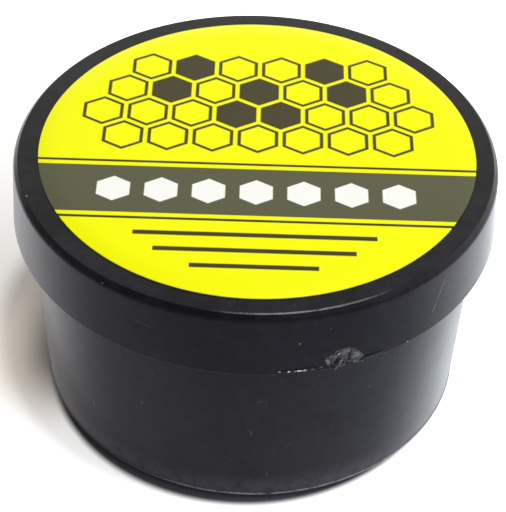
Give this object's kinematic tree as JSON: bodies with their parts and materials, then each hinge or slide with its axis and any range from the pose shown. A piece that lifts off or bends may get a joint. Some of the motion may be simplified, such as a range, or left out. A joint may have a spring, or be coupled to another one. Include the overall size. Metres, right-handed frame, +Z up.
{
  "type": "jar of grease",
  "caption": "Low round plastic jar with a tapered wall and a smooth overhanging screw lid, sealed by a soft disc, labelled on top and filled with thick lubricating grease.",
  "frame": {"origin": "centre of the foot ring, on the surface that the jar stands on", "axes": "+Z up along the jar's axis, -Y towards the front, which is the bottom edge of the label"},
  "size_m": [0.0486, 0.0486, 0.0274],
  "materials": {
    "jar_plastic": "satin",
    "grease": "gloss",
    "liner_foam": "matte",
    "lid_plastic": "satin",
    "label_paper": "matte"
  },
  "bodies": {
    "jar": {"jar_body": "jar_plastic", "grease_fill": "grease"},
    "liner": {"sealing_liner": "liner_foam"},
    "lid": {"screw_lid": "lid_plastic", "lid_label": "label_paper"}
  },
  "joints": [
    {"name": "lid_rise", "type": "slide", "parent": "jar", "child": "liner", "axis": [0, 0, 1], "range_m": [0, 0.011]},
    {"name": "lid_turn", "type": "hinge", "parent": "liner", "child": "lid", "pos_m": [0, 0, 0.02605], "axis": [0, 0, 1], "range_deg": [0, 990]}
  ],
  "couplings": [
    {"joint": "lid_rise", "follows": "lid_turn", "m_per_rad": 0.00063662}
  ]
}
